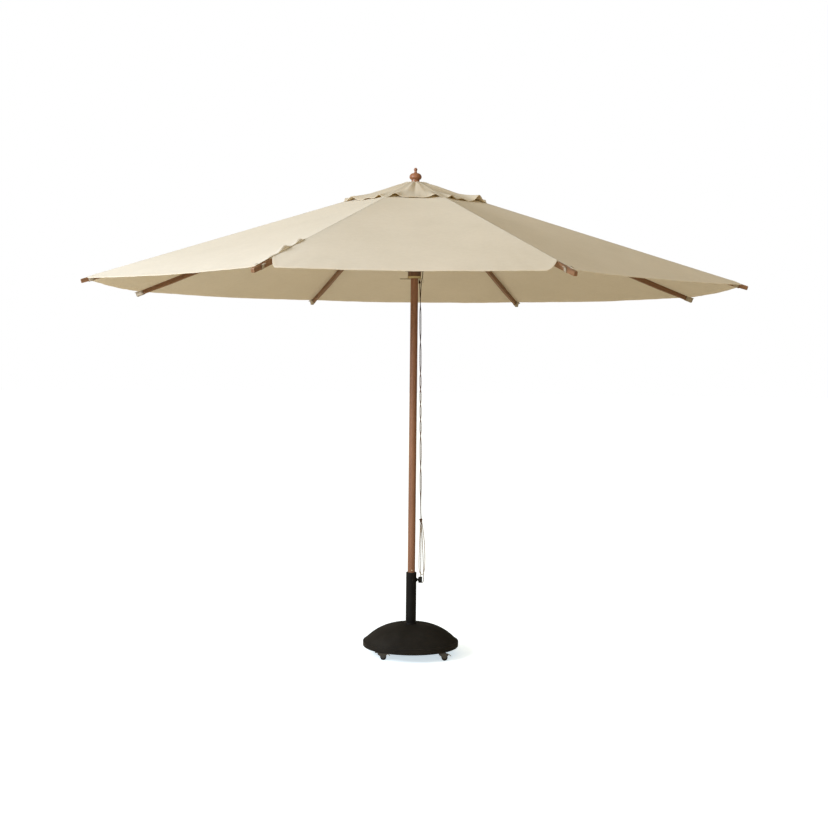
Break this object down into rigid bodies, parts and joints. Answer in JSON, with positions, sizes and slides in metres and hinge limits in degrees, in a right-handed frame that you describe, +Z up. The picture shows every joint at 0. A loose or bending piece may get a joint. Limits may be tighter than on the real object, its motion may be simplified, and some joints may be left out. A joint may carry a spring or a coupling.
{
  "type": "patio umbrella with wheeled base",
  "caption": "Octagonal wooden patio umbrella with a folding rib and strut frame, vented canopy, hoist rope and wheeled dome base.",
  "frame": {"origin": "on the floor, under the axis of the pole", "axes": "+Z up along the pole; the rope and the clamp knob are on the +X side and the side that faces the viewer is -Y"},
  "size_m": [3.6994, 3.6994, 2.98],
  "materials": {
    "canopy_fabric": "matte",
    "rib_wood": "satin",
    "strut_wood": "satin",
    "pole_wood": "satin",
    "turned_wood": "satin",
    "finial_wood": "satin",
    "bracket_steel": "satin",
    "dome_stone": "satin",
    "base_paint": "satin",
    "black_plastic": "matte",
    "sheave_plastic": "matte",
    "ferrule_brass": "satin",
    "pin_steel": "satin",
    "rope_fibre": "matte",
    "caster_steel": "satin",
    "pedal_chrome": "polished",
    "wheel_rubber": "matte"
  },
  "bodies": {
    "base": {"base_dome": "dome_stone", "base_plate": "base_paint", "base_tube": "base_paint", "reducer_sleeve": "black_plastic", "caster_plates": "caster_steel"},
    "pole": {"pole": "pole_wood", "crown": "turned_wood", "crown_pins": "bracket_steel", "finial": "finial_wood", "vent_cap": "canopy_fabric", "hoist_rope": "rope_fibre"},
    "sheave": {"sheave": "sheave_plastic"},
    "locking_pin": {"locking_pin": "pin_steel"},
    "clamp_pad": {"clamp_pad": "black_plastic"},
    "clamp_knob": {"clamp_knob": "black_plastic"},
    "rib_1": {"rib_1": "rib_wood", "rib_bracket_1": "bracket_steel", "canopy_panel_1": "canopy_fabric"},
    "strut_1": {"strut_1": "strut_wood"},
    "rib_2": {"rib_2": "rib_wood", "rib_bracket_2": "bracket_steel", "canopy_panel_2": "canopy_fabric"},
    "strut_2": {"strut_2": "strut_wood"},
    "rib_3": {"rib_3": "rib_wood", "rib_bracket_3": "bracket_steel", "canopy_panel_3": "canopy_fabric"},
    "strut_3": {"strut_3": "strut_wood"},
    "rib_4": {"rib_4": "rib_wood", "rib_bracket_4": "bracket_steel", "canopy_panel_4": "canopy_fabric"},
    "strut_4": {"strut_4": "strut_wood"},
    "rib_5": {"rib_5": "rib_wood", "rib_bracket_5": "bracket_steel", "canopy_panel_5": "canopy_fabric"},
    "strut_5": {"strut_5": "strut_wood"},
    "rib_6": {"rib_6": "rib_wood", "rib_bracket_6": "bracket_steel", "canopy_panel_6": "canopy_fabric"},
    "strut_6": {"strut_6": "strut_wood"},
    "rib_7": {"rib_7": "rib_wood", "rib_bracket_7": "bracket_steel", "canopy_panel_7": "canopy_fabric"},
    "strut_7": {"strut_7": "strut_wood"},
    "rib_8": {"rib_8": "rib_wood", "rib_bracket_8": "bracket_steel", "canopy_panel_8": "canopy_fabric"},
    "strut_8": {"strut_8": "strut_wood"},
    "runner": {"runner": "turned_wood", "runner_pins": "bracket_steel", "runner_ferrule": "ferrule_brass"},
    "caster_1": {"caster_fork_1": "caster_steel"},
    "wheel_1": {"caster_wheel_1": "wheel_rubber"},
    "pedal_1": {"brake_pedal_1": "pedal_chrome"},
    "caster_2": {"caster_fork_2": "caster_steel"},
    "wheel_2": {"caster_wheel_2": "wheel_rubber"},
    "pedal_2": {"brake_pedal_2": "pedal_chrome"},
    "caster_3": {"caster_fork_3": "caster_steel"},
    "wheel_3": {"caster_wheel_3": "wheel_rubber"},
    "caster_4": {"caster_fork_4": "caster_steel"},
    "wheel_4": {"caster_wheel_4": "wheel_rubber"}
  },
  "joints": [
    {"name": "pole_lift", "type": "slide", "parent": "base", "child": "pole", "axis": [0, 0, 1], "range_m": [0, 0.45]},
    {"name": "sheave_spin", "type": "hinge", "parent": "pole", "child": "sheave", "pos_m": [0.0415, 0, 2.83], "axis": [0, 1, 0], "continuous": true},
    {"name": "locking_pin_pull", "type": "slide", "parent": "pole", "child": "locking_pin", "axis": [1, 0, 0], "range_m": [0, 0.15]},
    {"name": "clamp_travel", "type": "slide", "parent": "base", "child": "clamp_pad", "axis": [1, 0, 0], "range_m": [0, 0.003]},
    {"name": "clamp_turn", "type": "hinge", "parent": "clamp_pad", "child": "clamp_knob", "pos_m": [0.055, 0, 0.459], "axis": [1, 0, 0], "range_deg": [0, 720]},
    {"name": "canopy_fold", "type": "hinge", "parent": "pole", "child": "rib_1", "pos_m": [0.04619, 0.01913, 2.862], "axis": [-0.3827, 0.9239, 0], "range_deg": [0, 69.6], "deforming": ["canopy_panel_1", "canopy_panel_2", "canopy_panel_3", "canopy_panel_4", "canopy_panel_5", "canopy_panel_6", "canopy_panel_7", "canopy_panel_8", "vent_cap", "hoist_rope"]},
    {"name": "strut_1_fold", "type": "hinge", "parent": "rib_1", "child": "strut_1", "pos_m": [0.66361, 0.27487, 2.61347], "axis": [-0.3827, 0.9239, 0], "range_deg": [-139.2, 0]},
    {"name": "rib_2_fold", "type": "hinge", "parent": "pole", "child": "rib_2", "pos_m": [0.01913, 0.04619, 2.862], "axis": [-0.9239, 0.3827, 0], "range_deg": [0, 69.6]},
    {"name": "strut_2_fold", "type": "hinge", "parent": "rib_2", "child": "strut_2", "pos_m": [0.27487, 0.66361, 2.61347], "axis": [-0.9239, 0.3827, 0], "range_deg": [-139.2, 0]},
    {"name": "rib_3_fold", "type": "hinge", "parent": "pole", "child": "rib_3", "pos_m": [-0.01913, 0.04619, 2.862], "axis": [-0.9239, -0.3827, 0], "range_deg": [0, 69.6]},
    {"name": "strut_3_fold", "type": "hinge", "parent": "rib_3", "child": "strut_3", "pos_m": [-0.27487, 0.66361, 2.61347], "axis": [-0.9239, -0.3827, 0], "range_deg": [-139.2, 0]},
    {"name": "rib_4_fold", "type": "hinge", "parent": "pole", "child": "rib_4", "pos_m": [-0.04619, 0.01913, 2.862], "axis": [-0.3827, -0.9239, 0], "range_deg": [0, 69.6]},
    {"name": "strut_4_fold", "type": "hinge", "parent": "rib_4", "child": "strut_4", "pos_m": [-0.66361, 0.27487, 2.61347], "axis": [-0.3827, -0.9239, 0], "range_deg": [-139.2, 0]},
    {"name": "rib_5_fold", "type": "hinge", "parent": "pole", "child": "rib_5", "pos_m": [-0.04619, -0.01913, 2.862], "axis": [0.3827, -0.9239, 0], "range_deg": [0, 69.6]},
    {"name": "strut_5_fold", "type": "hinge", "parent": "rib_5", "child": "strut_5", "pos_m": [-0.66361, -0.27487, 2.61347], "axis": [0.3827, -0.9239, 0], "range_deg": [-139.2, 0]},
    {"name": "rib_6_fold", "type": "hinge", "parent": "pole", "child": "rib_6", "pos_m": [-0.01913, -0.04619, 2.862], "axis": [0.9239, -0.3827, 0], "range_deg": [0, 69.6]},
    {"name": "strut_6_fold", "type": "hinge", "parent": "rib_6", "child": "strut_6", "pos_m": [-0.27487, -0.66361, 2.61347], "axis": [0.9239, -0.3827, 0], "range_deg": [-139.2, 0]},
    {"name": "rib_7_fold", "type": "hinge", "parent": "pole", "child": "rib_7", "pos_m": [0.01913, -0.04619, 2.862], "axis": [0.9239, 0.3827, 0], "range_deg": [0, 69.6]},
    {"name": "strut_7_fold", "type": "hinge", "parent": "rib_7", "child": "strut_7", "pos_m": [0.27487, -0.66361, 2.61347], "axis": [0.9239, 0.3827, 0], "range_deg": [-139.2, 0]},
    {"name": "rib_8_fold", "type": "hinge", "parent": "pole", "child": "rib_8", "pos_m": [0.04619, -0.01913, 2.862], "axis": [0.3827, 0.9239, 0], "range_deg": [0, 69.6]},
    {"name": "strut_8_fold", "type": "hinge", "parent": "rib_8", "child": "strut_8", "pos_m": [0.66361, -0.27487, 2.61347], "axis": [0.3827, 0.9239, 0], "range_deg": [-139.2, 0]},
    {"name": "runner_slide", "type": "hinge", "parent": "strut_1", "child": "runner", "pos_m": [0.04619, 0.01913, 2.36494], "axis": [-0.3827, 0.9239, 0], "range_deg": [0, 69.6]},
    {"name": "caster_1_swivel", "type": "hinge", "parent": "base", "child": "caster_1", "pos_m": [-0.185, -0.185, 0.045], "axis": [0, 0, 1], "continuous": true},
    {"name": "wheel_1_spin", "type": "hinge", "parent": "caster_1", "child": "wheel_1", "pos_m": [-0.164, -0.185, 0.019], "axis": [0, 1, 0], "continuous": true},
    {"name": "brake_1_press", "type": "hinge", "parent": "caster_1", "child": "pedal_1", "pos_m": [-0.147, -0.185, 0.037], "axis": [0, 1, 0], "range_deg": [0, 20]},
    {"name": "caster_2_swivel", "type": "hinge", "parent": "base", "child": "caster_2", "pos_m": [0.185, -0.185, 0.045], "axis": [0, 0, 1], "continuous": true},
    {"name": "wheel_2_spin", "type": "hinge", "parent": "caster_2", "child": "wheel_2", "pos_m": [0.206, -0.185, 0.019], "axis": [0, 1, 0], "continuous": true},
    {"name": "brake_2_press", "type": "hinge", "parent": "caster_2", "child": "pedal_2", "pos_m": [0.223, -0.185, 0.037], "axis": [0, 1, 0], "range_deg": [0, 20]},
    {"name": "caster_3_swivel", "type": "hinge", "parent": "base", "child": "caster_3", "pos_m": [-0.185, 0.185, 0.045], "axis": [0, 0, 1], "continuous": true},
    {"name": "wheel_3_spin", "type": "hinge", "parent": "caster_3", "child": "wheel_3", "pos_m": [-0.164, 0.185, 0.019], "axis": [0, 1, 0], "continuous": true},
    {"name": "caster_4_swivel", "type": "hinge", "parent": "base", "child": "caster_4", "pos_m": [0.185, 0.185, 0.045], "axis": [0, 0, 1], "continuous": true},
    {"name": "wheel_4_spin", "type": "hinge", "parent": "caster_4", "child": "wheel_4", "pos_m": [0.206, 0.185, 0.019], "axis": [0, 1, 0], "continuous": true}
  ],
  "couplings": [
    {"joint": "clamp_travel", "follows": "clamp_turn", "m_per_rad": 0.00023873},
    {"joint": "strut_1_fold", "follows": "canopy_fold", "ratio": -2},
    {"joint": "rib_2_fold", "follows": "canopy_fold", "ratio": 1},
    {"joint": "strut_2_fold", "follows": "canopy_fold", "ratio": -2},
    {"joint": "rib_3_fold", "follows": "canopy_fold", "ratio": 1},
    {"joint": "strut_3_fold", "follows": "canopy_fold", "ratio": -2},
    {"joint": "rib_4_fold", "follows": "canopy_fold", "ratio": 1},
    {"joint": "strut_4_fold", "follows": "canopy_fold", "ratio": -2},
    {"joint": "rib_5_fold", "follows": "canopy_fold", "ratio": 1},
    {"joint": "strut_5_fold", "follows": "canopy_fold", "ratio": -2},
    {"joint": "rib_6_fold", "follows": "canopy_fold", "ratio": 1},
    {"joint": "strut_6_fold", "follows": "canopy_fold", "ratio": -2},
    {"joint": "rib_7_fold", "follows": "canopy_fold", "ratio": 1},
    {"joint": "strut_7_fold", "follows": "canopy_fold", "ratio": -2},
    {"joint": "rib_8_fold", "follows": "canopy_fold", "ratio": 1},
    {"joint": "strut_8_fold", "follows": "canopy_fold", "ratio": -2},
    {"joint": "runner_slide", "follows": "canopy_fold", "ratio": 1}
  ]
}
